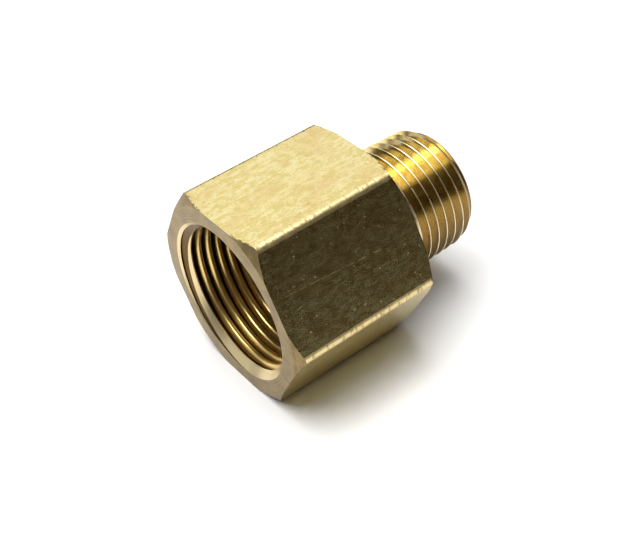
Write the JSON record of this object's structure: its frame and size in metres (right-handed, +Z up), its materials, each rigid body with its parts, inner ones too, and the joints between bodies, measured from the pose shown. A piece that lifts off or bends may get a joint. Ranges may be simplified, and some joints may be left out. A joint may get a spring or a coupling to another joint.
{
  "type": "reducing coupling",
  "caption": "Brass reducing coupling: hexagon body with an internal taper pipe thread at one end and a smaller external taper pipe thread on a spigot at the other.",
  "frame": {"origin": "centre of the fitting's bounding box, on the plane it rests on (the lower hexagon flat)", "axes": "+X along the fitting's axis from the female end to the male end, Y across it, +Z up; two of the hexagon's flats face up and down"},
  "size_m": [0.0426, 0.0364, 0.0318],
  "materials": {
    "turned_brass": "drawn hexagon flats with fine lengthwise marks, satin turned faces, bright cut threads"
  },
  "bodies": {
    "root": {"coupling_body": "turned_brass"}
  },
  "joints": []
}
